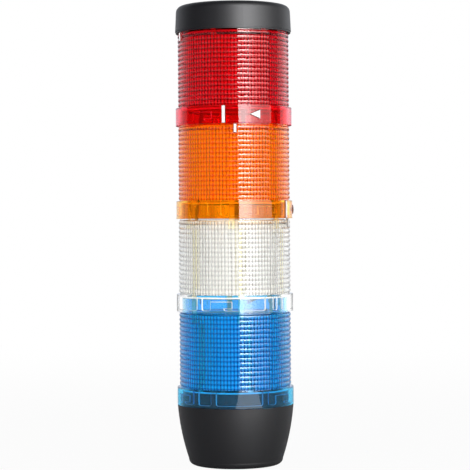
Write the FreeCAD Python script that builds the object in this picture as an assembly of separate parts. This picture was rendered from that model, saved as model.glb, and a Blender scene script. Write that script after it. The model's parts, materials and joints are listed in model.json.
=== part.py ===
import FreeCAD, Part
import math
import os

# Four-tier modular stack light: tapered base, blue, clear, amber and red modules, and a cap.
# Millimetres. +Z is up, z = 0 is the flat under the base, and the tower's axis is the Z axis.
# Angles round the tower are in degrees from the front (-Y), positive anticlockwise from above.

Vector = FreeCAD.Vector
UP = Vector(0, 0, 1)
ORIGIN = Vector(0, 0, 0)

# Tower
base_height = 36.25
module_pitch = 55.8
module_names = ["blue", "clear", "amber", "red"]
front_bar_angle = -9.7
module_step = 70.0

# Collar at the foot of each module and of the cap
collar_radius = 35.0
collar_height = 10.75
collar_skin = 1.6
collar_edge_round = 0.3
ceiling_thickness = 1.2

# Lens wall with rings outside and flutes inside
rib_inset = 1.4
rib_depth = 0.55
rib_count = 16
rib_margin = 0.685
lens_wall = 2.1
flute_depth = 0.45
flute_count = 100
top_flange_thickness = 1.8

# Neck that enters the collar above
neck_wall = 1.8
inner_ledge_width = 1.3

# Bayonet: lugs on the neck run in L-shaped slots between pads inside the collar
pad_depth = 1.3
pad_clearance = 0.3
pad_bottom = 1.8
pad_corner_round = 1.0
slot_roof = 2.55
ledge_thickness = 1.3
lug_width_angle = 11.0
lug_end_clearance_angle = 0.3
lug_skin_clearance = 0.25
lug_ledge_clearance = 0.12
lug_top_clearance = 0.3
twist_angle = 11.0
slot_entry_angle = 14.6
slot_channel_angle = 22.7
slot_start_angles = [-156.0, -36.0, 84.0]
pad_gaps = [(-172.2, -165.2), (-98.5, -88.0), (-83.2, -73.8), (25.0, 33.0), (112.0, 120.0), (134.0, 140.0)]

# Raised marks on the collar and under it
mark_rise = 0.8
bar_width = 2.6
arrow_tip_angle = 24.5
arrow_length = 7.1
arrow_height = 6.0
tick_width = 2.2
tick_height = 5.6
tick_rise = 0.7

# Seal ring on top of each neck
seal_width = 1.2
seal_height = 0.95

# Lamp carrier, inner tube and contact strips
carrier_thickness = 2.2
carrier_clearance = 0.3
inner_tube_inset = 1.1
inner_tube_wall = 1.2
inner_tube_top_gap = 1.3
strip_count = 6
strip_phase_angle = -3.3
strip_width = 3.0
strip_thickness = 0.5
strip_gap = 0.3
strip_seat_gap = 0.1
strip_foot_drop = 6.55
strip_top_rise = 7.0
strip_offset_below_top = 6.0

# Lamp with a two-pin bayonet cap, its socket shell and plungers
lamp_cap_radius = 7.5
lamp_cap_height = 12.0
lamp_cap_wall = 0.4
lamp_pin_radius = 1.0
lamp_pin_height = 7.0
lamp_pin_reach = 1.0
lamp_insulator_thickness = 2.0
lamp_glass_radius = 8.0
lamp_glass_height = 23.0
lamp_stem_radius = 6.6
lamp_stem_height = 9.0
socket_clearance = 0.15
socket_wall = 0.5
socket_height = 14.0
socket_slot_angle = 25.0
socket_boss_height = 5.0
socket_boss_wall = 2.0
socket_boss_clearance = 0.05
plunger_radius = 1.4
plunger_head_radius = 2.0
plunger_height = 2.4
plunger_spacing = 7.0

# Base housing
base_rim_inset = 0.05
base_waist_inset = 2.6
base_foot_inset = 6.52
base_foot_height = 3.6
base_foot_blend = 3.6
base_wall = 2.2
base_floor = 2.6
base_top_flange = 2.0
insert_drop = 6.25
insert_ledge = 1.4

# Socket for the standard 25 mm stand tube, with its clamping screw at the back
tube_socket_radius = 12.6
tube_socket_depth = 18.0
tube_socket_wall = 2.6
tube_stop_thickness = 3.0
cable_hole_radius = 9.0
clamp_screw_radius = 2.5
clamp_hole_clearance = 0.1
clamp_screw_length = 10.0
clamp_screw_height = 9.0
clamp_screw_tip_gap = 0.6
clamp_boss_wall = 2.0
clamp_hex_across = 2.5
clamp_hex_depth = 3.0

# Terminal insert in the base
insert_thickness = 2.4
terminal_inset = 6.2
terminal_block_size = 7.0
terminal_block_height = 8.0
terminal_wire_radius = 1.9
terminal_wire_height = 3.8
terminal_screw_radius = 1.5
terminal_screw_clearance = 0.1
terminal_screw_depth = 7.0
terminal_head_radius = 2.8
terminal_head_height = 1.8
terminal_slot_width = 0.8
terminal_slot_depth = 0.9
foot_end_overhang = 3.2

# Cap
cap_side_inset = 0.55
cap_side_rise = 1.85
cap_edge_blend = 3.9
cap_step = 0.35
cap_step_height = 1.0
cap_wall = 2.0

# Derived sizes
collar_inner_radius = collar_radius - collar_skin
ceiling_bottom = collar_height - ceiling_thickness
pad_inner_radius = collar_inner_radius - pad_depth
neck_radius = pad_inner_radius - pad_clearance
neck_inner_radius = neck_radius - neck_wall
neck_height = ceiling_bottom - seal_height
inner_ledge_radius = neck_inner_radius - inner_ledge_width
slot_top = ceiling_bottom - slot_roof
ledge_top = pad_bottom + ledge_thickness
rib_tip_radius = collar_radius - rib_inset
rib_root_radius = rib_tip_radius - rib_depth
rib_pitch = (module_pitch - collar_height - 2 * rib_margin) / rib_count
flute_root_radius = rib_tip_radius - lens_wall
carrier_radius = neck_inner_radius - carrier_clearance
carrier_top = collar_height + carrier_thickness
inner_tube_radius = inner_ledge_radius - inner_tube_inset
inner_tube_top = module_pitch - inner_tube_top_gap
strip_inner_radius = inner_tube_radius + strip_seat_gap
strip_outer_radius = strip_inner_radius + strip_thickness
finger_inner_radius = strip_outer_radius + strip_gap
finger_outer_radius = finger_inner_radius + strip_thickness
base_top_radius = collar_radius - base_rim_inset
base_waist_radius = base_top_radius - base_waist_inset
base_foot_radius = base_top_radius - base_foot_inset
base_waist_height = base_height / 2
insert_seat_height = base_height - insert_drop
terminal_radius = inner_ledge_radius - terminal_inset
cap_top_radius = collar_radius - cap_side_inset
cap_height = collar_height + cap_side_rise + cap_edge_blend
cap_base_z = base_height + module_pitch * len(module_names)
base_angle = front_bar_angle + module_step * len(module_names)
strip_shift_angle = 360.0 / strip_count - module_step
overlap = 0.4


def turned(shape, angle):
    """The shape turned round the tower's axis."""
    copy = shape.copy()
    copy.rotate(ORIGIN, UP, angle)
    return copy


def moved(shape, height):
    """The shape moved up."""
    copy = shape.copy()
    copy.translate(Vector(0, 0, height))
    return copy


def disc(radius, low, high):
    return Part.makeCylinder(radius, high - low, Vector(0, 0, low))


def ring(inner, outer, low, high):
    return disc(outer, low, high).cut(disc(inner, low, high))


def sector(inner, outer, start, end, low, high):
    """A piece of a ring between two angles round the tower."""
    wedge = Part.makeCylinder(outer, high - low, Vector(0, 0, low), UP, end - start)
    core = Part.makeCylinder(inner, high - low, Vector(0, 0, low))
    return turned(wedge.cut(core), start - 90)


def centred_sector(inner, outer, middle, width, low, high):
    """A piece of a ring with a given width in millimetres at its outside."""
    half = math.degrees(width / 2 / outer)
    return sector(inner, outer, middle - half, middle + half, low, high)


def radial_rod(radius, start, end, height):
    """A round rod along a radius that points to the front."""
    return Part.makeCylinder(radius, end - start, Vector(0, -start, height), Vector(0, -1, 0))


def front_block(width, start, end, low, high):
    """A block across the front, between two distances from the axis."""
    return Part.makeBox(width, end - start, high - low, Vector(-width / 2, -end, low))


def fused(shapes):
    whole = shapes[0].multiFuse(shapes[1:]) if len(shapes) > 1 else shapes[0]
    return whole.removeSplitter()


def line(start, end):
    return Part.LineSegment(Vector(start[0], 0, start[1]), Vector(end[0], 0, end[1])).toShape()


def arc(start, middle, end):
    points = [Vector(r, 0, z) for r, z in (start, middle, end)]
    return Part.Arc(*points).toShape()


def revolved(edges):
    """A solid turned from a closed outline of edges in radius and height."""
    face = Part.Face(Part.Wire(edges))
    return face.revolve(ORIGIN, UP, 360)


def lines(points):
    return [line(a, b) for a, b in zip(points, points[1:])]


def around(count, phase=0.0):
    """Evenly spaced angles."""
    return [phase + 360.0 * i / count for i in range(count)]


# The bayonet's two halves


def lower_corners(pads):
    """The straight edges at the foot of the pads' sides."""
    corners = []
    for edge in pads.Edges:
        at_foot = all(math.isclose(vertex.Z, pad_bottom) for vertex in edge.Vertexes)
        if at_foot and isinstance(edge.Curve, Part.Line):
            corners.append(edge)
    return corners


def collar_pads():
    """Pads inside a collar, parted by gaps and by the L-shaped slots, with rounded lower corners."""
    pads = ring(pad_inner_radius, collar_inner_radius + overlap, pad_bottom, ceiling_bottom + overlap)
    reach = (pad_inner_radius - overlap, collar_inner_radius + 2 * overlap)
    cuts = [sector(*reach, start, end, 0, ceiling_bottom) for start, end in pad_gaps]
    for start in slot_start_angles:
        cuts.append(sector(*reach, start, start + slot_entry_angle, 0, slot_top))
        cuts.append(sector(*reach, start, start + slot_channel_angle, ledge_top, slot_top))
    pads = pads.cut(cuts)
    return pads.makeFillet(pad_corner_round, lower_corners(pads))


def neck_lugs(top):
    """Lugs of a neck whose shoulder is at a height, locked in the slots of the collar above."""
    lugs = []
    for start in slot_start_angles:
        end = start + slot_channel_angle - lug_end_clearance_angle - module_step
        low = top + ledge_top + lug_ledge_clearance
        high = top + slot_top - lug_top_clearance
        outer = collar_inner_radius - lug_skin_clearance
        lugs.append(sector(neck_radius - overlap, outer, end - lug_width_angle, end, low, high))
    return lugs


# Lens moulding


def rib_outline():
    """Outer points of the ringed wall, from the collar up to the top flange."""
    points = [(rib_root_radius, collar_height)]
    for i in range(rib_count):
        foot = collar_height + rib_margin + i * rib_pitch
        points.append((rib_root_radius, foot))
        points.append((rib_tip_radius, foot + rib_pitch / 2))
    points.append((rib_root_radius, module_pitch - rib_margin))
    points.append((rib_root_radius, module_pitch))
    return points


def collar_side():
    """Outer edges of a collar, rounded at its foot and its top."""
    inset = collar_radius - collar_edge_round
    slant = collar_edge_round * (1 - math.sqrt(0.5))
    low = collar_edge_round
    high = collar_height - collar_edge_round
    return [
        arc((inset, 0), (collar_radius - slant, slant), (collar_radius, low)),
        line((collar_radius, low), (collar_radius, high)),
        arc((collar_radius, high), (collar_radius - slant, collar_height - slant), (inset, collar_height)),
    ]


def lens_body():
    """Collar skin, ceiling, ringed wall and neck, solid inside down to the inner ledge."""
    neck_top = module_pitch + neck_height
    edge_radius = collar_radius - collar_edge_round
    outline = [
        (edge_radius, collar_height),
        *rib_outline(),
        (neck_radius, module_pitch),
        (neck_radius, neck_top),
        (inner_ledge_radius, neck_top),
        (inner_ledge_radius, ceiling_bottom),
        (collar_inner_radius, ceiling_bottom),
        (collar_inner_radius, 0),
        (edge_radius, 0),
    ]
    return revolved(collar_side() + lines(outline))


def fluted_bore(low, high):
    """The lens's bore, with upright V flutes cut into its wall."""
    crest_radius = flute_root_radius - flute_depth
    points = []
    for i in range(flute_count):
        for radius, share in ((flute_root_radius, 0.0), (crest_radius, 0.5)):
            angle = math.radians((i + share) * 360.0 / flute_count)
            points.append(Vector(radius * math.cos(angle), radius * math.sin(angle), low))
    face = Part.Face(Part.makePolygon(points + points[:1]))
    return face.extrude(Vector(0, 0, high - low))


def arrow_head():
    """A raised arrowhead on the collar, pointing to the left."""
    middle = arrow_tip_angle + math.degrees(arrow_length / 2 / collar_radius)
    centre = collar_height / 2
    corners = [
        (-arrow_length / 2, centre),
        (arrow_length / 2, centre + arrow_height / 2),
        (arrow_length / 2, centre - arrow_height / 2),
    ]
    points = [Vector(x, -collar_inner_radius, z) for x, z in corners]
    face = Part.Face(Part.makePolygon(points + points[:1]))
    prism = face.extrude(Vector(0, -2 * collar_skin, 0))
    skin = ring(collar_radius - overlap, collar_radius + mark_rise, 0, collar_height)
    return turned(prism.common(skin), middle)


def lens_marks():
    """A full-height bar and an arrowhead on the collar, and a tick under the collar above."""
    outer = collar_radius + mark_rise
    bar = centred_sector(collar_radius - overlap, outer, 0, bar_width, 0, collar_height)
    tick_outer = rib_tip_radius + tick_rise
    tick_angle = twist_angle - module_step
    tick_low = module_pitch - tick_height
    tick_inner = rib_root_radius - overlap
    tick = centred_sector(tick_inner, tick_outer, tick_angle, tick_width, tick_low, module_pitch)
    return [bar, arrow_head(), tick]


def lens():
    body = lens_body()
    flange_bottom = module_pitch - top_flange_thickness
    body = body.cut(fluted_bore(collar_height, flange_bottom))
    body = body.cut(disc(neck_inner_radius, flange_bottom, module_pitch + neck_height))
    return fused([body, collar_pads(), *neck_lugs(module_pitch), *lens_marks()])


# Parts inside a module


def seal(top):
    """Flat seal ring on a neck."""
    middle = neck_radius - neck_wall / 2
    low = top + neck_height
    return ring(middle - seal_width / 2, middle + seal_width / 2, low, low + seal_height)


def strip_slots(low, high, inner, outer):
    """Clearance cuts for the contact strips."""
    width = strip_width + 2 * strip_gap
    return [
        turned(front_block(width, inner, outer, low, high), angle)
        for angle in around(strip_count, strip_phase_angle)
    ]


def lamp_carrier():
    """Round plate with a boss for the lamp socket and slots for the contact strips."""
    plate = disc(carrier_radius, collar_height, carrier_top)
    boss_inner = lamp_cap_radius + socket_clearance + socket_wall + socket_boss_clearance
    boss = ring(boss_inner, boss_inner + socket_boss_wall, carrier_top, carrier_top + socket_boss_height)
    carrier = fused([plate, boss])
    inner = strip_inner_radius - strip_gap
    slots = strip_slots(collar_height, carrier_top, inner, carrier_radius + overlap)
    return carrier.cut(slots)


def inner_tube():
    """Tube round the lamp, on the carrier."""
    return ring(inner_tube_radius - inner_tube_wall, inner_tube_radius, carrier_top, inner_tube_top)


def contact_strips():
    """Metal strips up the outside of the inner tube.

    Near its top each steps outwards and sideways, to meet the foot of a strip in the module above.
    """
    bottom = collar_height - strip_foot_drop
    bend = module_pitch - strip_offset_below_top
    top = module_pitch + strip_top_rise
    half_angle = math.degrees(strip_width / 2 / strip_inner_radius)
    column = front_block(strip_width, strip_inner_radius, strip_outer_radius, bottom, bend + strip_thickness)
    step = sector(
        strip_inner_radius,
        finger_outer_radius,
        strip_shift_angle - half_angle,
        half_angle,
        bend,
        bend + strip_thickness,
    )
    finger = front_block(strip_width, finger_inner_radius, finger_outer_radius, bend, top)
    strip = fused([column, step, turned(finger, strip_shift_angle)])
    return [turned(strip, angle) for angle in around(strip_count, strip_phase_angle)]


def socket_shell():
    """Thin metal shell with two L-shaped slots for the lamp's pins."""
    inner = lamp_cap_radius + socket_clearance
    outer = inner + socket_wall
    top = carrier_top + socket_height
    shell = ring(inner, outer, carrier_top, top)
    pin_z = carrier_top + plunger_height + lamp_pin_height
    half = lamp_pin_radius + socket_clearance
    width_angle = math.degrees(half / inner)
    for angle in (0.0, 180.0):
        reach = (inner - overlap, outer + overlap)
        first = angle - width_angle
        last = angle + socket_slot_angle + width_angle
        entry_start = last - 2 * width_angle
        shell = shell.cut(sector(*reach, entry_start, last, pin_z - half, top))
        shell = shell.cut(sector(*reach, first, last, pin_z - half, pin_z + half))
    return shell


def lamp_plungers():
    """Two contact plungers under the lamp, standing on the carrier."""
    plungers = []
    for side in (-1, 1):
        place = Vector(side * plunger_spacing / 2, 0, carrier_top)
        foot = Part.makeCylinder(plunger_head_radius, plunger_height / 2, place)
        tip_place = place + Vector(0, 0, plunger_height / 2)
        tip = Part.makeCylinder(plunger_radius, plunger_height / 2, tip_place)
        plungers.append(fused([foot, tip]))
    return plungers


def lamp_cap():
    """Brass lamp cap with two pins and a solid insulating foot."""
    low = carrier_top + plunger_height
    high = low + lamp_cap_height
    shell = ring(lamp_cap_radius - lamp_cap_wall, lamp_cap_radius, low, high)
    foot = disc(lamp_cap_radius, low, low + lamp_insulator_thickness)
    reach = lamp_cap_radius + lamp_pin_reach
    inside = lamp_cap_radius - lamp_cap_wall
    pin = radial_rod(lamp_pin_radius, inside, reach, low + lamp_pin_height)
    return fused([shell, foot, pin, turned(pin, 180)])


def lamp_bulb():
    """Sealed tubular bulb with a domed end; its stem is cemented in the cap."""
    cap_top = carrier_top + plunger_height + lamp_cap_height
    stem_bottom = cap_top - lamp_stem_height
    dome = cap_top + lamp_glass_height - lamp_glass_radius
    tip = cap_top + lamp_glass_height
    slant = lamp_glass_radius * math.sqrt(0.5)
    edges = [
        line((0, stem_bottom), (lamp_stem_radius, stem_bottom)),
        line((lamp_stem_radius, stem_bottom), (lamp_stem_radius, cap_top)),
        line((lamp_stem_radius, cap_top), (lamp_glass_radius, cap_top)),
        line((lamp_glass_radius, cap_top), (lamp_glass_radius, dome)),
        arc((lamp_glass_radius, dome), (slant, dome + slant), (0, tip)),
        line((0, tip), (0, stem_bottom)),
    ]
    return revolved(edges)


# Base


def base_side(offset, low, high):
    """The base's curved side as an edge between two heights, moved inwards by an offset."""
    points = ((base_foot_radius, base_foot_height), (base_waist_radius, base_waist_height))
    points += ((base_top_radius, base_height),)
    (x1, y1), (x2, y2), (x3, y3) = points
    d = 2 * (x1 * (y2 - y3) + x2 * (y3 - y1) + x3 * (y1 - y2))
    s1, s2, s3 = x1 ** 2 + y1 ** 2, x2 ** 2 + y2 ** 2, x3 ** 2 + y3 ** 2
    centre_r = (s1 * (y2 - y3) + s2 * (y3 - y1) + s3 * (y1 - y2)) / d
    centre_z = (s1 * (x3 - x2) + s2 * (x1 - x3) + s3 * (x2 - x1)) / d
    radius = math.hypot(x1 - centre_r, y1 - centre_z) - offset
    middle = (low + high) / 2
    places = [(centre_r + math.sqrt(radius ** 2 - (z - centre_z) ** 2), z) for z in (low, middle, high)]
    return places


def base_housing():
    """Bowl-shaped moulding with the neck, the insert's ledge and the tube socket."""
    side = base_side(0, base_foot_height, base_height)
    flat_radius = base_foot_radius - base_foot_blend
    corner_r = flat_radius + base_foot_blend * math.sqrt(0.5)
    corner_z = base_foot_height * (1 - math.sqrt(0.5))
    inside_low = base_side(base_wall, base_floor, insert_seat_height - insert_ledge)
    inside_high = base_side(base_wall, insert_seat_height, base_height - base_top_flange)
    neck_top = base_height + neck_height
    ledge_low = (inner_ledge_radius, insert_seat_height - insert_ledge)
    ledge_high = (inner_ledge_radius, insert_seat_height)
    top_inside = (neck_inner_radius, base_height - base_top_flange)
    edges = [
        line((0, 0), (flat_radius, 0)),
        arc((flat_radius, 0), (corner_r, corner_z), side[0]),
        arc(*side),
        line(side[2], (neck_radius, base_height)),
        line((neck_radius, base_height), (neck_radius, neck_top)),
        line((neck_radius, neck_top), (neck_inner_radius, neck_top)),
        line((neck_inner_radius, neck_top), top_inside),
        line(top_inside, inside_high[2]),
        arc(*inside_high[::-1]),
        line(inside_high[0], ledge_high),
        line(ledge_high, ledge_low),
        line(ledge_low, inside_low[2]),
        arc(*inside_low[::-1]),
        line(inside_low[0], (0, base_floor)),
        line((0, base_floor), (0, 0)),
    ]
    shell = revolved(edges)
    socket_top = tube_socket_depth + tube_stop_thickness
    socket = disc(tube_socket_radius + tube_socket_wall, 0, socket_top)
    hole_radius = clamp_screw_radius + clamp_hole_clearance
    wall_reach = base_side(base_wall / 2, clamp_screw_height, base_height)[0][0]
    boss = radial_rod(hole_radius + clamp_boss_wall, tube_socket_radius, wall_reach, clamp_screw_height)
    lugs = [turned(lug, base_angle) for lug in neck_lugs(base_height)]
    housing = fused([shell, socket, turned(boss, 180), *lugs])
    screw_hole = radial_rod(hole_radius, 0, collar_radius, clamp_screw_height)
    housing = housing.cut(disc(tube_socket_radius, 0, tube_socket_depth))
    housing = housing.cut(disc(cable_hole_radius, tube_socket_depth, socket_top))
    return housing.cut(turned(screw_hole, 180))


def tube_clamp_screw():
    """Grub screw with a hexagon socket, behind the stand tube."""
    start = tube_socket_radius + clamp_screw_tip_gap
    end = start + clamp_screw_length
    screw = radial_rod(clamp_screw_radius, start, end, clamp_screw_height)
    corner = clamp_hex_across / math.sqrt(3)
    points = []
    for angle in around(6):
        turn = math.radians(angle)
        x = corner * math.cos(turn)
        z = clamp_screw_height + corner * math.sin(turn)
        points.append(Vector(x, -end, z))
    hexagon = Part.Face(Part.makePolygon(points + points[:1])).extrude(Vector(0, clamp_hex_depth, 0))
    return turned(screw.cut(hexagon), 180)


def terminal_angles():
    return around(strip_count, base_angle + strip_phase_angle - module_step)


def terminal_insert():
    """Round plate on the base's ledge, with a hole for each terminal screw."""
    top = insert_seat_height + insert_thickness
    plate = disc(carrier_radius, insert_seat_height, top)
    hole_radius = terminal_screw_radius + terminal_screw_clearance
    place = Vector(0, -terminal_radius, insert_seat_height)
    hole = Part.makeCylinder(hole_radius, insert_thickness, place)
    return plate.cut([turned(hole, angle) for angle in terminal_angles()])


def terminal_clamps():
    """Brass blocks under the insert, each with a wire hole and a screw hole."""
    half = terminal_block_size / 2
    low = insert_seat_height - terminal_block_height
    start = terminal_radius - half
    end = terminal_radius + half
    block = front_block(terminal_block_size, start, end, low, insert_seat_height)
    wire = radial_rod(terminal_wire_radius, start, end, low + terminal_wire_height)
    place = Vector(0, -terminal_radius, low)
    hole_radius = terminal_screw_radius + terminal_screw_clearance
    thread = Part.makeCylinder(hole_radius, terminal_block_height, place)
    block = block.cut([wire, thread])
    return [turned(block, angle) for angle in terminal_angles()]


def contact_posts():
    """L-shaped strips on the insert; their fingers meet the blue module's strips."""
    top = insert_seat_height + insert_thickness
    finger_top = base_height + strip_top_rise
    finger = front_block(strip_width, finger_inner_radius, finger_outer_radius, top, finger_top)
    foot_start = terminal_radius - foot_end_overhang
    foot = front_block(2 * strip_width, foot_start, finger_outer_radius, top, top + strip_thickness)
    place = Vector(0, -terminal_radius, top)
    hole_radius = terminal_screw_radius + terminal_screw_clearance
    hole = Part.makeCylinder(hole_radius, strip_thickness, place)
    post = fused([foot, finger]).cut(hole)
    return [turned(post, angle) for angle in terminal_angles()]


def terminal_screws():
    """Slotted pan-head screws through the contact posts into the clamps."""
    seat = insert_seat_height + insert_thickness + strip_thickness
    tip = insert_seat_height - terminal_screw_depth + terminal_wire_radius
    shank = Part.makeCylinder(terminal_screw_radius, seat - tip, Vector(0, -terminal_radius, tip))
    head_place = Vector(0, -terminal_radius, seat)
    head = Part.makeCylinder(terminal_head_radius, terminal_head_height, head_place)
    slot_low = seat + terminal_head_height - terminal_slot_depth
    start = terminal_radius - terminal_head_radius
    end = terminal_radius + terminal_head_radius
    slot = front_block(terminal_slot_width, start, end, slot_low, seat + terminal_head_height)
    screw = fused([shank, head]).cut(slot)
    return [turned(screw, angle) for angle in terminal_angles()]


# Cap


def cap():
    """Closed cap with a rounded edge; its foot is a collar like those of the modules."""
    flat_radius = cap_top_radius - cap_edge_blend
    corner = cap_edge_blend * math.sqrt(0.5)
    edge_low = cap_height - cap_edge_blend
    inside_top = cap_height - cap_wall
    inside_radius = cap_top_radius - cap_wall
    inside_corner = (cap_edge_blend - cap_wall) * math.sqrt(0.5)
    edges = [
        line((collar_inner_radius, 0), (collar_radius - cap_step, 0)),
        line((collar_radius - cap_step, 0), (collar_radius - cap_step, cap_step_height)),
        line((collar_radius - cap_step, cap_step_height), (collar_radius, cap_step_height)),
        line((collar_radius, cap_step_height), (cap_top_radius, edge_low)),
        arc((cap_top_radius, edge_low), (flat_radius + corner, edge_low + corner), (flat_radius, cap_height)),
        line((flat_radius, cap_height), (0, cap_height)),
        line((0, cap_height), (0, inside_top)),
        line((0, inside_top), (flat_radius, inside_top)),
        arc(
            (flat_radius, inside_top),
            (flat_radius + inside_corner, edge_low + inside_corner),
            (inside_radius, edge_low),
        ),
        line((inside_radius, edge_low), (inside_radius, collar_height)),
        line((inside_radius, collar_height), (inner_ledge_radius, collar_height)),
        line((inner_ledge_radius, collar_height), (inner_ledge_radius, ceiling_bottom)),
        line((inner_ledge_radius, ceiling_bottom), (collar_inner_radius, ceiling_bottom)),
        line((collar_inner_radius, ceiling_bottom), (collar_inner_radius, 0)),
    ]
    return fused([revolved(edges), collar_pads()])


def module_parts():
    """The pieces of one module, with its collar's foot at z = 0 and its bar at the front."""
    return {
        "lens": lens(),
        "lamp_carrier": lamp_carrier(),
        "inner_tube": inner_tube(),
        "contact_strips": Part.makeCompound(contact_strips()),
        "socket_shell": socket_shell(),
        "lamp_plungers": Part.makeCompound(lamp_plungers()),
        "lamp_cap": lamp_cap(),
        "lamp_bulb": lamp_bulb(),
        "seal": seal(module_pitch),
    }


def main():
    os.makedirs("parts", exist_ok=True)
    nodes = {
        "base_housing": base_housing(),
        "tube_clamp_screw": tube_clamp_screw(),
        "terminal_insert": terminal_insert(),
        "terminal_clamps": Part.makeCompound(terminal_clamps()),
        "contact_posts": Part.makeCompound(contact_posts()),
        "terminal_screws": Part.makeCompound(terminal_screws()),
        "base_seal": seal(base_height),
    }
    pieces = module_parts()
    for i, name in enumerate(module_names):
        angle = base_angle - module_step * (i + 1)
        height = base_height + module_pitch * i
        for piece, shape in pieces.items():
            nodes[name + "_" + piece] = moved(turned(shape, angle), height)
    nodes["cap"] = moved(turned(cap(), front_bar_angle - module_step), cap_base_z)
    for name, shape in nodes.items():
        shape.exportStep("parts/" + name + ".step")
        print(name, len(shape.Solids), round(shape.Volume, 1), shape.isValid())


main()
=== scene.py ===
import json
import math

import bpy
import numpy as np
from mathutils import Matrix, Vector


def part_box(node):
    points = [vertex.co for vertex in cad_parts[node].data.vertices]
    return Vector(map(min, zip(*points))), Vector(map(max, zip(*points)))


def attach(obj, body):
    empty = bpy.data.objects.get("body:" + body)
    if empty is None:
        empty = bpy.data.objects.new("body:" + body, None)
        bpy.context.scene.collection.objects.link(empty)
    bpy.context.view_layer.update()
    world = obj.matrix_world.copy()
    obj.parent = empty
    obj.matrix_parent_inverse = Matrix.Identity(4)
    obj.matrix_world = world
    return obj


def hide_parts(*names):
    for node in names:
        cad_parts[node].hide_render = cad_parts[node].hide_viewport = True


# Looks of the four-tier stack light. Metres, +Z up, -Y towards the camera.
# Angles round the tower are in degrees from the front (-Y), positive anticlockwise from above.

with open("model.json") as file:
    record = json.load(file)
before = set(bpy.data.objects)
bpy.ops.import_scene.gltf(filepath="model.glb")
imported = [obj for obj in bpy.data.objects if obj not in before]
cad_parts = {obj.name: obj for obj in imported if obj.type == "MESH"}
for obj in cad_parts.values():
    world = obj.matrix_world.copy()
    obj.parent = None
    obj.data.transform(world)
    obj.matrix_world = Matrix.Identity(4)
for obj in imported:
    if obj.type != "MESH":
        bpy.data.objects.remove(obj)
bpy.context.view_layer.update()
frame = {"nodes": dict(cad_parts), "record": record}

MM = 0.001

# Tower
MODULES = ["blue", "clear", "amber", "red"]
BASE_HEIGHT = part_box("blue_lens")[0].z
MODULE_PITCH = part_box("clear_lens")[0].z - BASE_HEIGHT
FRONT_BAR_ANGLE = -9.7
MODULE_STEP = 70.0

# Collar
COLLAR_RADIUS = 35.0 * MM
COLLAR_INNER_RADIUS = 33.4 * MM
COLLAR_HEIGHT = 10.75 * MM
CEILING_BOTTOM = 9.55 * MM
EDGE_ROUND = 0.3 * MM
# An extra row this far from a round keeps the shading of the long face beside it flat
EDGE_KEEP = 0.05 * MM
# The pads' sides slant by this much up and down, and by this angle round the tower
EDGE_SLANT = 0.2 * MM
EDGE_SLANT_ANGLE = 0.35

# Ribbed and fluted wall
RIB_TIP_RADIUS = 33.6 * MM
RIB_DEPTH = 0.55 * MM
RIB_COUNT = 16
RIB_MARGIN = 0.685 * MM
# Where each ring and each flute is drawn, as shares of its pitch
RIB_SHARES = (0.0, 0.08, 0.2, 0.4, 0.6, 0.8, 0.92)
FLUTE_ROOT_RADIUS = 31.5 * MM
FLUTE_DEPTH = 0.45 * MM
FLUTE_COUNT = 100
FLUTE_SHARES = (0.0, 0.12, 0.37, 0.63, 0.88)
# How far the painted shade of a groove reaches, as a share of the pitch
GROOVE_SHADE_SHARE = 0.36
TOP_FLANGE = 1.8 * MM

# Neck and bayonet
NECK_RADIUS = 31.8 * MM
NECK_INNER_RADIUS = 30.0 * MM
NECK_HEIGHT = 8.6 * MM
LEDGE_RADIUS = 28.7 * MM
PAD_RADIUS = 32.1 * MM
PAD_BOTTOM = 1.8 * MM
PAD_CORNER_ROUND = 1.0 * MM
PAD_CORNER_STEPS = 4
# The columns beside a rounded corner follow it over this many corner widths
PAD_CORNER_SPREAD = 2.5
SLOT_TOP = 7.0 * MM
SLOT_LEDGE_TOP = 3.1 * MM
SLOT_STARTS = (-156.0, -36.0, 84.0)
SLOT_ENTRY_ANGLE = 14.6
SLOT_CHANNEL_ANGLE = 22.7
PAD_GAPS = (
    (-172.2, -165.2),
    (-98.5, -88.0),
    (-83.2, -73.8),
    (25.0, 33.0),
    (112.0, 120.0),
    (134.0, 140.0),
)
LUG_RADIUS = 33.15 * MM
LUG_LOW = 3.22 * MM
LUG_HIGH = 6.7 * MM
LUG_WIDTH_ANGLE = 11.0
LUG_END_ANGLE = 0.3
TWIST_ANGLE = 11.0

# Raised marks
MARK_RISE = 0.8 * MM
MARK_SINK = 0.05 * MM
MARK_DRAFT = 0.4 * MM
BAR_WIDTH = 2.6 * MM
ARROW_TIP_ANGLE = 24.5
ARROW_LENGTH = 7.1 * MM
ARROW_HEIGHT = 6.0 * MM
TICK_RADIUS = 34.3 * MM
TICK_WIDTH = 2.2 * MM
TICK_HEIGHT = 5.6 * MM
MARK_STEPS = 6
# The arrowhead's tip is blunt: its height there as a share of the full height
ARROW_TIP_SHARE = 0.02

# Meshes: the tiny values keep a reading on its own side of a step or of a flute's edge
TINY_ANGLE = 1e-4
TINY_SHARE = 1e-6
STEP_MARGIN = 0.02
MERGE_DISTANCE = 0.0005 * MM
SHARP_ANGLE = 32

# Materials
LENS_ROUGHNESS = 0.02
LENS_IOR = 1.52
LENS_GRAIN_SCALE = 900.0
LENS_GRAIN_HEIGHT = 0.0006 * MM
MOULD_GRAIN_SCALE = 2500.0
MOULD_GRAIN_HEIGHT = 0.02 * MM
MOULD_ROUGHNESS_SPREAD = 0.05
GRAIN_DETAIL = 3.0
GRAIN_STRENGTH = 0.5
# Painted shade on the sides of the raised marks: this share of the plastic's squared colour
MARK_RIM_SHADE_SHARE = 0.25
# Ray depth after which light passes straight through the lenses
DEEPEST_REFRACTION = 5.5
# Sockets of a Mix node that mixes colours
MIX_FACTOR = 0
MIX_FIRST = 6
MIX_SECOND = 7
MIX_RESULT = 2

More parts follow.
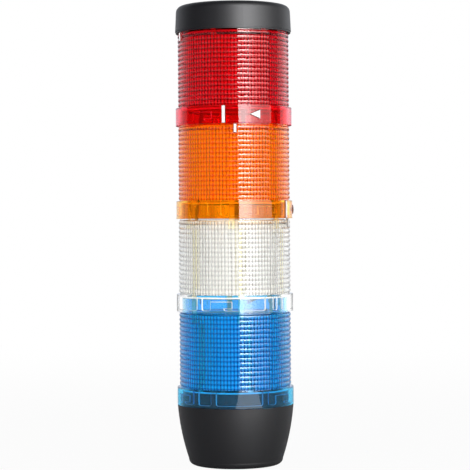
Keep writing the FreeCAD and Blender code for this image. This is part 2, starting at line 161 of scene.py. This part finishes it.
# Surroundings: soft level, and the studio that the tower reflects, dim in front and full behind
SOFT_LEVEL = 0.1
STUDIO_COLOUR = (0.84, 0.88, 0.96)
STUDIO_FRONT_LEVEL = 0.03
STUDIO_FRONT_Y = 0.2
STUDIO_BACK_Y = 0.85

# Floor: the share of its glow near the tower, out to the near radius, grows to 1 at the far one
FLOOR_SIZE = 60.0
FLOOR_COLOUR = (0.45, 0.45, 0.45)
FLOOR_ROUGHNESS = 0.8
FLOOR_NEAR_SHARE = 0.95
FLOOR_NEAR_RADIUS = 0.25
FLOOR_FAR_RADIUS = 1.0

# Soft fills round the tower: name, azimuth and power
FILLS = (
    ("fill_left", -45.0, 15.6),
    ("fill_right", 45.0, 11.6),
    ("fill_back_left", -135.0, 13.0),
    ("fill_back_right", 135.0, 13.0),
)
FILL_DISTANCE = 1.3
FILL_HEIGHT = 0.35
FILL_WIDTH = 1.0
FILL_TALL = 0.9

# Key light whose picture lies on the right of the tower: name, first and last azimuth, and radiance
KEYS = (
    ("key", 9.3, 26.0, 16.5),
    ("key_second", 26.0, 34.0, 14.0),
    ("key_third", 34.0, 41.0, 8.0),
    ("key_fourth", 41.0, 48.0, 5.5),
    ("key_side", 48.0, 58.0, 4.0),
    ("key_far", 58.0, 78.0, 2.5),
)
KEY_DISTANCE = 0.9
# The key light's lower and upper parts: name, bottom, top and share of the radiance
KEY_TIERS = (("low", 0.02, 0.3, 0.7), ("high", 0.3, 0.82, 1.2))

# Lamps behind that edge the tower with light: name, azimuth and power
RIMS = (("right_rim", 125.0, 1.3), ("left_rim", -125.0, 0.4))
RIM_DISTANCE = 0.9
RIM_HEIGHT = 0.25
RIM_SIZE = 0.7

# A glow that lies on the floor in front of the tower and shows in the base
TABLE_GLOW_AZIMUTH = 25.0
TABLE_GLOW_DISTANCE = 0.5
TABLE_GLOW_HEIGHT = 0.002
TABLE_GLOW_WIDTH = 0.3
TABLE_GLOW_LENGTH = 0.6
TABLE_GLOW_POWER = 1.2

# Camera, worked out from the photograph
CAMERA_DISTANCE = 1.05
CAMERA_HEIGHT = 0.1488
CAMERA_LENS = 133.1
CAMERA_SHIFT_X = 0.0014
CAMERA_SHIFT_Y = -0.0383
CAMERA_ROLL = -0.42
CAMERA_SENSOR = 36.0


def socket(node, name):
    """A node's input by its name."""
    return node.inputs[name]


def new_material(name):
    """An empty node material with its output."""
    material = bpy.data.materials.new(name)
    material.use_nodes = True
    tree = material.node_tree
    tree.nodes.clear()
    output = tree.nodes.new("ShaderNodeOutputMaterial")
    return material, tree, output


def principled(tree, colour, roughness, **values):
    """A Principled shader with constant values on its own sockets, named with underscores."""
    shader = tree.nodes.new("ShaderNodeBsdfPrincipled")
    socket(shader, "Base Color").default_value = (*colour, 1)
    socket(shader, "Roughness").default_value = roughness
    for name, value in values.items():
        socket(shader, name.replace("_", " ").title().replace("Ior", "IOR")).default_value = value
    return shader


def grain(tree, shader, scale, height, roughness=None):
    """Fine moulded or drawn grain: bump from noise, and a little spread in the roughness."""
    place = tree.nodes.new("ShaderNodeTexCoord")
    noise = tree.nodes.new("ShaderNodeTexNoise")
    socket(noise, "Scale").default_value = scale
    socket(noise, "Detail").default_value = GRAIN_DETAIL
    tree.links.new(place.outputs["Object"], socket(noise, "Vector"))
    bump = tree.nodes.new("ShaderNodeBump")
    socket(bump, "Strength").default_value = GRAIN_STRENGTH
    socket(bump, "Distance").default_value = height
    tree.links.new(noise.outputs["Fac"], socket(bump, "Height"))
    tree.links.new(bump.outputs["Normal"], socket(shader, "Normal"))
    if roughness is not None:
        spread = tree.nodes.new("ShaderNodeMapRange")
        socket(spread, "To Min").default_value = roughness - MOULD_ROUGHNESS_SPREAD
        socket(spread, "To Max").default_value = roughness + MOULD_ROUGHNESS_SPREAD
        tree.links.new(noise.outputs["Fac"], socket(spread, "Value"))
        tree.links.new(spread.outputs["Result"], socket(shader, "Roughness"))


def moulded(name, colour, roughness, **values):
    """A moulded or metal surface with fine grain."""
    material, tree, output = new_material(name)
    shader = principled(tree, colour, roughness, **values)
    grain(tree, shader, MOULD_GRAIN_SCALE, MOULD_GRAIN_HEIGHT, roughness)
    tree.links.new(shader.outputs["BSDF"], socket(output, "Surface"))
    return material


def lens_plastic(name, colour, groove_shade=None):
    """Clear plastic that lets lamps light what is inside it, with painted shade deepening its
    colour in its grooves.
    """
    material, tree, output = new_material(name)
    glass = principled(tree, colour, LENS_ROUGHNESS, transmission_weight=1.0, ior=LENS_IOR)
    grain(tree, glass, LENS_GRAIN_SCALE, LENS_GRAIN_HEIGHT)
    # The groove attribute mixes in painted shade towards the bottom of each groove
    if groove_shade:
        groove = tree.nodes.new("ShaderNodeAttribute")
        groove.attribute_name = "groove"
        blend = tree.nodes.new("ShaderNodeMix")
        blend.data_type = "RGBA"
        tree.links.new(groove.outputs["Fac"], blend.inputs[MIX_FACTOR])
        blend.inputs[MIX_FIRST].default_value = (*colour, 1)
        blend.inputs[MIX_SECOND].default_value = (*groove_shade, 1)
        tree.links.new(blend.outputs[MIX_RESULT], socket(glass, "Base Color"))
    clear = tree.nodes.new("ShaderNodeBsdfTransparent")
    socket(clear, "Color").default_value = (*[math.sqrt(c) for c in colour], 1)
    path = tree.nodes.new("ShaderNodeLightPath")
    deep = tree.nodes.new("ShaderNodeMath")
    deep.operation = "GREATER_THAN"
    deep.inputs[1].default_value = DEEPEST_REFRACTION
    tree.links.new(path.outputs["Ray Depth"], deep.inputs[0])
    straight = tree.nodes.new("ShaderNodeMath")
    straight.operation = "MAXIMUM"
    tree.links.new(path.outputs["Is Shadow Ray"], straight.inputs[0])
    tree.links.new(deep.outputs[0], straight.inputs[1])
    mix = tree.nodes.new("ShaderNodeMixShader")
    tree.links.new(straight.outputs[0], socket(mix, "Fac"))
    tree.links.new(glass.outputs["BSDF"], mix.inputs[1])
    tree.links.new(clear.outputs["BSDF"], mix.inputs[2])
    tree.links.new(mix.outputs["Shader"], socket(output, "Surface"))
    return material


LENS_COLOURS = {
    "blue": (0.055, 0.63, 1.0),
    "clear": (0.995, 0.995, 0.992),
    "amber": (1.0, 0.48, 0.02),
    "red": (0.92, 0.036, 0.072),
}
# Painted shade at the bottom of the grooves, where the steep sides of rings and flutes look dark
GROOVE_SHADE_COLOURS = {
    "blue": (0.0, 0.02, 0.28),
    "clear": (0.58, 0.58, 0.57),
    "amber": (0.75, 0.06, 0.0),
    "red": (0.15, 0.0, 0.0),
}
# Painted highlight on the slanted sides of the pads, standing in for the light that their edges
# catch
EDGE_HIGHLIGHT_COLOURS = {
    "blue": (0.06, 0.30, 0.60),
    "clear": (0.95, 0.95, 0.95),
    "amber": (1.0, 0.55, 0.12),
    "red": (0.90, 0.12, 0.14),
}

MATERIALS = {
    "housing": moulded("black_moulding", (0.006, 0.006, 0.008), 0.5, specular_ior_level=0.49),
    "inner_tube": moulded("cream_tube", (0.82, 0.81, 0.775), 0.5),
    "carrier": moulded("off_white_moulding", (0.88, 0.86, 0.80), 0.45),
    "contact_metal": moulded("brass", (0.78, 0.73, 0.50), 0.5, metallic=0.15),
    "plated_metal": moulded("nickel_plate", (0.62, 0.61, 0.58), 0.28, metallic=1.0),
    "lamp_glass": lens_plastic("lamp_glass", (0.97, 0.97, 0.95)),
    "seal": moulded("silicone_rubber", (0.82, 0.82, 0.79), 0.6),
}
for module in MODULES:
    colour = LENS_COLOURS[module]
    rim_shade_colour = [MARK_RIM_SHADE_SHARE * c * c for c in colour]
    # The pads' slanted sides get a painted highlight
    MATERIALS[module + "_edge"] = moulded(
        module + "_pad_edges", EDGE_HIGHLIGHT_COLOURS[module], 0.5, transmission_weight=0.25
    )
    MATERIALS[module + "_lens"] = lens_plastic(module + "_plastic", colour, GROOVE_SHADE_COLOURS[module])
    # The sides of the marks are painted darker, as shade that outlines them
    MATERIALS[module + "_rim"] = moulded(module + "_mark_rims", rim_shade_colour, 0.4)
PRINT = moulded("white_print", (0.93, 0.93, 0.93), 0.35)


# Shells turned round the axis, with steps where pads, slots and lugs begin and end


def columns(step_angles, count, shares):
    """Angles to draw and angles at which to read the radius, a pair on each side of a step."""
    even = [360.0 * (i + share) / count for i in range(count) for share in shares]
    steps = sorted({round(a % 360.0, 6) for a in step_angles})
    near = EDGE_SLANT_ANGLE + STEP_MARGIN
    kept = [a for a in even if all(abs(a - s) > near for s in steps)]
    entries = [(a, a) for a in kept]
    for s in steps:
        entries.append((s - EDGE_SLANT_ANGLE, s - TINY_ANGLE))
        entries.append((s + EDGE_SLANT_ANGLE, s + TINY_ANGLE))
    entries.sort(key=lambda e: e[1])
    return np.array(entries)


def within(angles, ranges):
    """Whether each angle is inside one of the ranges."""
    inside = np.zeros(len(angles), bool)
    for start, end in ranges:
        inside |= (angles - start) % 360.0 < (end - start)
    return inside


def constant(value):
    """The same value at every angle."""
    return lambda angles: np.full(len(angles), value)


def stepped(outside, inside, ranges):
    """One value outside the ranges of angles and another inside them."""
    return lambda angles: np.where(within(angles, ranges), inside, outside)


def mesh_from_grid(name, points, grooves, materials):
    """A closed mesh from a grid that wraps both ways, with coincident points joined."""
    row_count, column_count = points.shape[:2]
    flat = points.reshape(-1, 3)
    keys = np.round(flat / MERGE_DISTANCE).astype(np.int64)
    _, first, index = np.unique(keys, axis=0, return_index=True, return_inverse=True)
    index = index.reshape(row_count, column_count)
    a = index
    b = np.roll(index, -1, axis=1)
    c = np.roll(b, -1, axis=0)
    d = np.roll(index, -1, axis=0)
    faces = []
    for corners in np.stack([a, b, c, d], axis=-1).reshape(-1, 4).tolist():
        face = [v for i, v in enumerate(corners) if v != corners[i - 1]]
        if len(set(face)) == len(face) and len(face) > 2:
            faces.append(face)
    mesh = bpy.data.meshes.new(name)
    mesh.from_pydata(flat[first].tolist(), [], faces)
    depth = mesh.attributes.new("groove", "FLOAT", "POINT")
    depth.data.foreach_set("value", grooves.reshape(-1)[first])
    for material in materials:
        mesh.materials.append(material)
    mesh.shade_smooth()
    mesh.set_sharp_from_angle(angle=math.radians(SHARP_ANGLE))
    mesh.update()
    piece = bpy.data.objects.new(name, mesh)
    bpy.context.scene.collection.objects.link(piece)
    return piece


def shell(name, rows, angles, turn, lift, materials):
    """A closed shell from rows, out along its outside and back along its inside.

    A row holds its height and, by angle, its radius, how deep it lies in a groove and how far
    its columns turn aside. The last two can be left out.
    """
    draw = np.radians(angles[:, 0] + turn)
    read = angles[:, 1]
    points = np.zeros((len(rows), len(angles), 3))
    grooves = np.zeros((len(rows), len(angles)))
    for i, row in enumerate(rows):
        z, radius, groove, aside = (*row, None, None)[:4]
        row_draw = draw + np.radians(aside(read)) if aside else draw
        if groove:
            grooves[i] = groove(read)
        r = radius(read)
        points[i, :, 0] = r * np.sin(row_draw)
        points[i, :, 1] = -r * np.cos(row_draw)
        points[i, :, 2] = z + lift
    return mesh_from_grid(name, points, grooves, materials)


def lug_ranges():
    """The angles of the lugs on a neck, where they stand locked in the next collar."""
    ranges = []
    for start in SLOT_STARTS:
        end = start + SLOT_CHANNEL_ANGLE - LUG_END_ANGLE - MODULE_STEP
        ranges.append((end - LUG_WIDTH_ANGLE, end))
    return ranges


def neck_rows(top):
    """Outside of a neck, from its shoulder up, and the top of its inside."""
    plain = constant(NECK_RADIUS)
    lugs = stepped(NECK_RADIUS, LUG_RADIUS, lug_ranges())
    outside = [
        (top, plain),
        (top + LUG_LOW, plain),
        (top + LUG_LOW, lugs),
        (top + LUG_HIGH, lugs),
        (top + LUG_HIGH, plain),
        (top + NECK_HEIGHT - EDGE_ROUND, plain),
        (top + NECK_HEIGHT, constant(NECK_RADIUS - EDGE_ROUND)),
    ]
    inside = [(top + NECK_HEIGHT, constant(NECK_INNER_RADIUS))]
    return outside, inside


def pad_sides():
    """The angles of the pads' sides at their foot, with 1 where the pad is on the greater side."""
    sides = []
    for start, end in PAD_GAPS:
        sides += [(start, -1), (end, 1)]
    for start in SLOT_STARTS:
        sides += [(start, -1), (start + SLOT_ENTRY_ANGLE, 1)]
    return sides


def corner(rise):
    """The turn of the columns that draws back a rounded corner, at a height over the pads' foot."""
    back = PAD_CORNER_ROUND - math.sqrt(PAD_CORNER_ROUND ** 2 - (PAD_CORNER_ROUND - rise) ** 2)
    most = math.degrees(back / COLLAR_INNER_RADIUS)
    spread = PAD_CORNER_SPREAD * math.degrees(PAD_CORNER_ROUND / COLLAR_INNER_RADIUS)

    def aside(angles):
        total = np.zeros(len(angles))
        for angle, side in pad_sides():
            away = np.abs((angles - angle + 180.0) % 360.0 - 180.0)
            total += side * most * np.clip(1 - away / spread, 0, 1)
        return total

    return aside


def pad_foot_rows(entry, plain):
    """The lowest part of the pads, whose corners are rounded, down to their foot."""
    rows = []
    for k in range(PAD_CORNER_STEPS + 1):
        rise = PAD_CORNER_ROUND * (1 - math.sin(math.pi / 2 * k / PAD_CORNER_STEPS))
        rows.append((PAD_BOTTOM + rise, entry, None, corner(rise)))
    rows.append((PAD_BOTTOM - EDGE_SLANT, plain, None, corner(0.0)))
    return rows


def collar_inside_rows():
    """Inside of a collar, from its ceiling down to its foot."""
    slots = [(s, s + SLOT_CHANNEL_ANGLE) for s in SLOT_STARTS]
    entries = [(s, s + SLOT_ENTRY_ANGLE) for s in SLOT_STARTS]
    above = stepped(PAD_RADIUS, COLLAR_INNER_RADIUS, PAD_GAPS)
    channel = stepped(PAD_RADIUS, COLLAR_INNER_RADIUS, [*PAD_GAPS, *slots])
    entry = stepped(PAD_RADIUS, COLLAR_INNER_RADIUS, [*PAD_GAPS, *entries])
    plain = constant(COLLAR_INNER_RADIUS)
    return [
        (CEILING_BOTTOM, above),
        (SLOT_TOP + EDGE_SLANT, above),
        (SLOT_TOP - EDGE_SLANT, channel),
        (SLOT_LEDGE_TOP + EDGE_SLANT, channel),
        (SLOT_LEDGE_TOP - EDGE_SLANT, entry),
        *pad_foot_rows(entry, plain),
        (0.0, plain),
    ]


def rounded_collar_rows():
    """Outside of a collar, with small rounds at its foot and its top."""
    slant = EDGE_ROUND * (1 - math.sqrt(0.5))
    return [
        (0.0, constant(COLLAR_RADIUS - EDGE_ROUND)),
        (slant, constant(COLLAR_RADIUS - slant)),
        (EDGE_ROUND, constant(COLLAR_RADIUS)),
        (EDGE_ROUND + EDGE_KEEP, constant(COLLAR_RADIUS)),
        (COLLAR_HEIGHT - EDGE_ROUND - EDGE_KEEP, constant(COLLAR_RADIUS)),
        (COLLAR_HEIGHT - EDGE_ROUND, constant(COLLAR_RADIUS)),
        (COLLAR_HEIGHT - slant, constant(COLLAR_RADIUS - slant)),
        (COLLAR_HEIGHT, constant(COLLAR_RADIUS - EDGE_ROUND)),
    ]


def groove_amount(share):
    """1 in the groove between two ribs or flutes, falling to 0 on their sides."""
    return np.clip(1 - np.minimum(share, 1 - share) / GROOVE_SHADE_SHARE, 0, 1)


def rib_rows():
    """Rounded rings up the wall."""
    pitch = (MODULE_PITCH - COLLAR_HEIGHT - 2 * RIB_MARGIN) / RIB_COUNT
    root = RIB_TIP_RADIUS - RIB_DEPTH
    rows = [(COLLAR_HEIGHT, constant(root))]
    for i in range(RIB_COUNT):
        foot = COLLAR_HEIGHT + RIB_MARGIN + i * pitch
        for share in RIB_SHARES:
            rise = RIB_DEPTH * (1 - (2 * share - 1) ** 2)
            groove = constant(float(groove_amount(share)))
            rows.append((foot + share * pitch, constant(root + rise), groove))
    rows.append((MODULE_PITCH - RIB_MARGIN, constant(root), constant(1.0)))
    rows.append((MODULE_PITCH, constant(root)))
    return rows


def flute_share(angles):
    """How far across its flute each angle lies, from 0 to 1."""
    return (angles * FLUTE_COUNT / 360.0 + TINY_SHARE) % 1.0


def flute_radius(angles):
    """Rounded upright flutes inside the wall, each bulging inwards."""
    return FLUTE_ROOT_RADIUS - FLUTE_DEPTH * (1 - (2 * flute_share(angles) - 1) ** 2)


def flute_groove(angles):
    """How deep each angle lies in the groove between two flutes."""
    return groove_amount(flute_share(angles))


def mark_pad_edges(mesh, lift):
    """Gives the slanted sides of the pads a painted highlight, less clear than the rest."""
    middle = (PAD_RADIUS + COLLAR_INNER_RADIUS) / 2
    top = CEILING_BOTTOM - EDGE_SLANT
    for face in mesh.polygons:
        x, y, z = face.center
        if z - lift < top and math.hypot(x, y) < COLLAR_INNER_RADIUS + EDGE_SLANT:
            reaches = [math.hypot(*mesh.vertices[v].co[:2]) for v in face.vertices]
            if min(reaches) < middle < max(reaches):
                face.material_index = 1


def lens(module, index):
    """The whole moulding of one module: collar, wall and neck."""
    turn = module_turn(index)
    lift = BASE_HEIGHT + MODULE_PITCH * index
    steps = [a for pair in PAD_GAPS for a in pair]
    steps += [a for pair in lug_ranges() for a in pair]
    for start in SLOT_STARTS:
        steps += [start, start + SLOT_ENTRY_ANGLE, start + SLOT_CHANNEL_ANGLE]
    angles = columns(steps, FLUTE_COUNT, FLUTE_SHARES)
    neck_outside, neck_inside = neck_rows(MODULE_PITCH)
    flange = MODULE_PITCH - TOP_FLANGE
    rows = [
        *rounded_collar_rows(),
        *rib_rows(),
        *neck_outside,
        *neck_inside,
        (flange, constant(NECK_INNER_RADIUS)),
        (flange, flute_radius, flute_groove),
        (COLLAR_HEIGHT, flute_radius, flute_groove),
        (COLLAR_HEIGHT, constant(LEDGE_RADIUS)),
        (CEILING_BOTTOM, constant(LEDGE_RADIUS)),
        *collar_inside_rows(),
    ]
    materials = [MATERIALS[module + "_lens"], MATERIALS[module + "_edge"]]
    piece = shell(module + "_moulding", rows, angles, turn, lift, materials)
    mark_pad_edges(piece.data, lift)
    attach(piece, module)
    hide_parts(module + "_lens")


def module_turn(index):
    """The angle of a module's bar."""
    return FRONT_BAR_ANGLE + MODULE_STEP * (len(MODULES) - 1 - index)


# Raised marks with a printed face


def raised_mark(outline, inner, outer):
    """Points, sides and printed top of a raised mark from its outline of angle, low and high.

    Each angle gives a low and a high point, first on the inner radius and then on the outer one,
    where the draft draws them in.
    """
    points = []
    for radius, draft in ((inner, 0.0), (outer, MARK_DRAFT)):
        draft_angle = math.degrees(draft / outer)
        last = len(outline) - 1
        for k, (angle, low, high) in enumerate(outline):
            shift = 0.0
            if k == 0:
                shift = draft_angle
            if k == last:
                shift = -draft_angle
            turn = math.radians(angle + shift)
            close = min(draft, (high - low) / 2)
            for z in (low + close, high - close):
                points.append((radius * math.sin(turn), -radius * math.cos(turn), z))
    count = 2 * len(outline)
    faces = []
    top = []
    for k in range(len(outline) - 1):
        a = 2 * k
        faces.append((a, a + 1, a + 3, a + 2))
        faces.append((a, a + 2, a + 2 + count, a + count))
        faces.append((a + 1, a + 1 + count, a + 3 + count, a + 3))
        top.append((a + count, a + 2 + count, a + 3 + count, a + 1 + count))
    end = count - 2
    faces.append((0, count, count + 1, 1))
    faces.append((end, end + 1, end + 1 + count, end + count))
    return points, faces, top


def span(start, end, low, high):
    """An outline from one angle to another, with its low and high edge by share of the way."""
    outline = []
    for k in range(MARK_STEPS + 1):
        share = k / MARK_STEPS
        outline.append((start + (end - start) * k / MARK_STEPS, low(share), high(share)))
    return outline


def arrow_half(share):
    """Half the height of the arrowhead, from its blunt tip to its back."""
    return (ARROW_TIP_SHARE + (1 - ARROW_TIP_SHARE) * share) * ARROW_HEIGHT / 2


def mark_outlines():
    """The bar, the arrowhead and the tick: outline, inner radius and outer radius."""
    inner = COLLAR_RADIUS - MARK_SINK
    outer = COLLAR_RADIUS + MARK_RISE
    bar_half = math.degrees(BAR_WIDTH / 2 / outer)
    tick_half = math.degrees(TICK_WIDTH / 2 / TICK_RADIUS)
    arrow_angle = math.degrees(ARROW_LENGTH / COLLAR_RADIUS)
    middle = COLLAR_HEIGHT / 2
    tick_angle = TWIST_ANGLE - MODULE_STEP
    bar = span(-bar_half, bar_half, lambda s: 0.0, lambda s: COLLAR_HEIGHT)
    arrow = span(
        ARROW_TIP_ANGLE,
        ARROW_TIP_ANGLE + arrow_angle,
        lambda s: middle - arrow_half(s),
        lambda s: middle + arrow_half(s),
    )
    tick = span(
        tick_angle - tick_half,
        tick_angle + tick_half,
        lambda s: MODULE_PITCH - TICK_HEIGHT,
        lambda s: MODULE_PITCH,
    )
    return [
        (bar, inner, outer),
        (arrow, inner, outer),
        (tick, RIB_TIP_RADIUS - RIB_DEPTH, TICK_RADIUS),
    ]


def marks(module, index):
    """The module's bar, arrowhead and tick, with white printed faces."""
    turn = module_turn(index)
    lift = BASE_HEIGHT + MODULE_PITCH * index
    points = []
    faces = []
    printed = []
    for outline, inner, outer in mark_outlines():
        new_points, new_faces, top = raised_mark(outline, inner, outer)
        offset = len(points)
        points += new_points
        for group, print_here in ((new_faces, False), (top, True)):
            for face in group:
                faces.append([v + offset for v in face])
                printed.append(print_here)
    mesh = bpy.data.meshes.new(module + "_marks")
    mesh.from_pydata(points, [], faces)
    turned = Matrix.Rotation(math.radians(turn), 4, "Z")
    mesh.transform(Matrix.Translation((0, 0, lift)) @ turned)
    mesh.materials.append(MATERIALS[module + "_rim"])
    mesh.materials.append(PRINT)
    for face, print_here in zip(mesh.polygons, printed):
        face.material_index = int(print_here)
    mesh.update()
    piece = bpy.data.objects.new(module + "_marks", mesh)
    bpy.context.scene.collection.objects.link(piece)
    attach(piece, module)


# Stage: floor, surroundings, lamps and camera


def any_ray(tree, kinds):
    """1 for rays of the named kinds, and 0 for all others."""
    path = tree.nodes.new("ShaderNodeLightPath")
    result = path.outputs[kinds[0]]
    for kind in kinds[1:]:
        either = tree.nodes.new("ShaderNodeMath")
        either.operation = "MAXIMUM"
        tree.links.new(result, either.inputs[0])
        tree.links.new(path.outputs[kind], either.inputs[1])
        result = either.outputs[0]
    return result


def mapped(tree, value, low, high, to_low, to_high):
    """The value carried smoothly from one range to another."""
    ranged = tree.nodes.new("ShaderNodeMapRange")
    ranged.interpolation_type = "SMOOTHSTEP"
    socket(ranged, "From Min").default_value = low
    socket(ranged, "From Max").default_value = high
    socket(ranged, "To Min").default_value = to_low
    socket(ranged, "To Max").default_value = to_high
    tree.links.new(value, socket(ranged, "Value"))
    return ranged.outputs["Result"]


def make_world():
    """White for the camera, a studio for mirrored and bent rays, and a soft level otherwise."""
    world = bpy.data.worlds.new("surroundings")
    bpy.context.scene.world = world
    world.use_nodes = True
    tree = world.node_tree
    tree.nodes.clear()
    output = tree.nodes.new("ShaderNodeOutputWorld")
    white = tree.nodes.new("ShaderNodeBackground")
    studio = tree.nodes.new("ShaderNodeBackground")
    soft = tree.nodes.new("ShaderNodeBackground")
    for shade, colour in ((white, (1, 1, 1)), (studio, STUDIO_COLOUR), (soft, (1, 1, 1))):
        socket(shade, "Color").default_value = (*colour, 1)
    socket(soft, "Strength").default_value = SOFT_LEVEL
    place = tree.nodes.new("ShaderNodeTexCoord")
    split = tree.nodes.new("ShaderNodeSeparateXYZ")
    tree.links.new(place.outputs["Generated"], split.inputs[0])
    level = mapped(
        tree, split.outputs["Y"], STUDIO_FRONT_Y, STUDIO_BACK_Y, STUDIO_FRONT_LEVEL, 1.0
    )
    tree.links.new(level, socket(studio, "Strength"))
    bounced = tree.nodes.new("ShaderNodeMixShader")
    tree.links.new(any_ray(tree, ["Is Glossy Ray", "Is Transmission Ray"]), socket(bounced, "Fac"))
    tree.links.new(soft.outputs[0], bounced.inputs[1])
    tree.links.new(studio.outputs[0], bounced.inputs[2])
    mix = tree.nodes.new("ShaderNodeMixShader")
    tree.links.new(any_ray(tree, ["Is Camera Ray"]), socket(mix, "Fac"))
    tree.links.new(bounced.outputs[0], mix.inputs[1])
    tree.links.new(white.outputs[0], mix.inputs[2])
    tree.links.new(mix.outputs[0], socket(output, "Surface"))


def make_floor():
    """A pale floor that keeps the tower's shadow and turns white further out."""
    half = FLOOR_SIZE / 2
    corners = [(-half, -half, 0), (half, -half, 0), (half, half, 0), (-half, half, 0)]
    mesh = bpy.data.meshes.new("floor")
    mesh.from_pydata(corners, [], [(0, 1, 2, 3)])
    material, tree, output = new_material("pale_floor")
    plain = principled(tree, FLOOR_COLOUR, FLOOR_ROUGHNESS)
    glow = tree.nodes.new("ShaderNodeEmission")
    place = tree.nodes.new("ShaderNodeTexCoord")
    reach = tree.nodes.new("ShaderNodeVectorMath")
    reach.operation = "LENGTH"
    tree.links.new(place.outputs["Object"], reach.inputs[0])
    scale = tree.nodes.new("ShaderNodeMath")
    scale.operation = "MULTIPLY"
    share = mapped(
        tree, reach.outputs["Value"], FLOOR_NEAR_RADIUS, FLOOR_FAR_RADIUS, FLOOR_NEAR_SHARE, 1.0
    )
    tree.links.new(share, scale.inputs[0])
    tree.links.new(any_ray(tree, ["Is Camera Ray", "Is Transmission Ray"]), scale.inputs[1])
    mix = tree.nodes.new("ShaderNodeMixShader")
    tree.links.new(scale.outputs[0], socket(mix, "Fac"))
    tree.links.new(plain.outputs["BSDF"], mix.inputs[1])
    tree.links.new(glow.outputs[0], mix.inputs[2])
    tree.links.new(mix.outputs[0], socket(output, "Surface"))
    mesh.materials.append(material)
    floor = bpy.data.objects.new("floor", mesh)
    bpy.context.scene.collection.objects.link(floor)


def softbox(name, azimuth, distance, height, width, tall, power):
    """A soft lamp that faces the tower."""
    light = bpy.data.lights.new(name, "AREA")
    light.shape = "RECTANGLE"
    light.size = width
    light.size_y = tall
    light.energy = power
    lamp = bpy.data.objects.new(name, light)
    turn = math.radians(azimuth)
    lamp.location = (distance * math.sin(turn), -distance * math.cos(turn), height)
    lamp.rotation_euler = (math.radians(90), 0, turn)
    bpy.context.scene.collection.objects.link(lamp)
    return lamp


def key_light(name, start, end, bottom, top, radiance):
    """A part of the key light between two azimuths and two heights, for reflections only."""
    width = 2 * KEY_DISTANCE * math.tan(math.radians(end - start) / 2)
    tall = top - bottom
    power = radiance * math.pi * width * tall
    key = softbox(name, (start + end) / 2, KEY_DISTANCE, (bottom + top) / 2, width, tall, power)
    key.visible_diffuse = False
    key.visible_transmission = False


def make_table_glow():
    """The glow on the floor, seen only as a reflection."""
    glow = softbox(
        "table_glow",
        TABLE_GLOW_AZIMUTH,
        TABLE_GLOW_DISTANCE,
        TABLE_GLOW_HEIGHT,
        TABLE_GLOW_WIDTH,
        TABLE_GLOW_LENGTH,
        TABLE_GLOW_POWER,
    )
    glow.rotation_euler = (math.radians(180), 0, math.radians(TABLE_GLOW_AZIMUTH))
    glow.visible_camera = False
    glow.visible_diffuse = False
    glow.visible_transmission = False


def make_camera():
    """The camera at the photograph's angle."""
    data = bpy.data.cameras.new("camera")
    data.lens = CAMERA_LENS
    data.sensor_width = CAMERA_SENSOR
    data.shift_x = CAMERA_SHIFT_X
    data.shift_y = CAMERA_SHIFT_Y
    camera = bpy.data.objects.new("camera", data)
    level = Matrix.Rotation(math.radians(90), 4, "X")
    rolled = level @ Matrix.Rotation(math.radians(CAMERA_ROLL), 4, "Z")
    camera.matrix_world = Matrix.Translation((0, -CAMERA_DISTANCE, CAMERA_HEIGHT)) @ rolled
    bpy.context.scene.collection.objects.link(camera)
    bpy.context.scene.camera = camera


# Build

slot_of = {part["node"]: part["material_slot"] for part in frame["record"]["subparts"]}
for node, solid in frame["nodes"].items():
    solid.data.materials.clear()
    solid.data.materials.append(MATERIALS[slot_of[node]])
for index, module in enumerate(MODULES):
    lens(module, index)
    marks(module, index)

make_world()
make_floor()
for name, start, end, radiance in KEYS:
    for tier, bottom, top, share in KEY_TIERS:
        key_light(name + "_" + tier, start, end, bottom, top, share * radiance)
# The fills light the tower but don't show in it
for name, azimuth, power in FILLS:
    fill = softbox(name, azimuth, FILL_DISTANCE, FILL_HEIGHT, FILL_WIDTH, FILL_TALL, power)
    fill.visible_glossy = False
    fill.visible_transmission = False
for name, azimuth, power in RIMS:
    softbox(name, azimuth, RIM_DISTANCE, RIM_HEIGHT, RIM_SIZE, RIM_SIZE, power)
make_table_glow()
make_camera()
bpy.context.scene.view_settings.view_transform = "Standard"
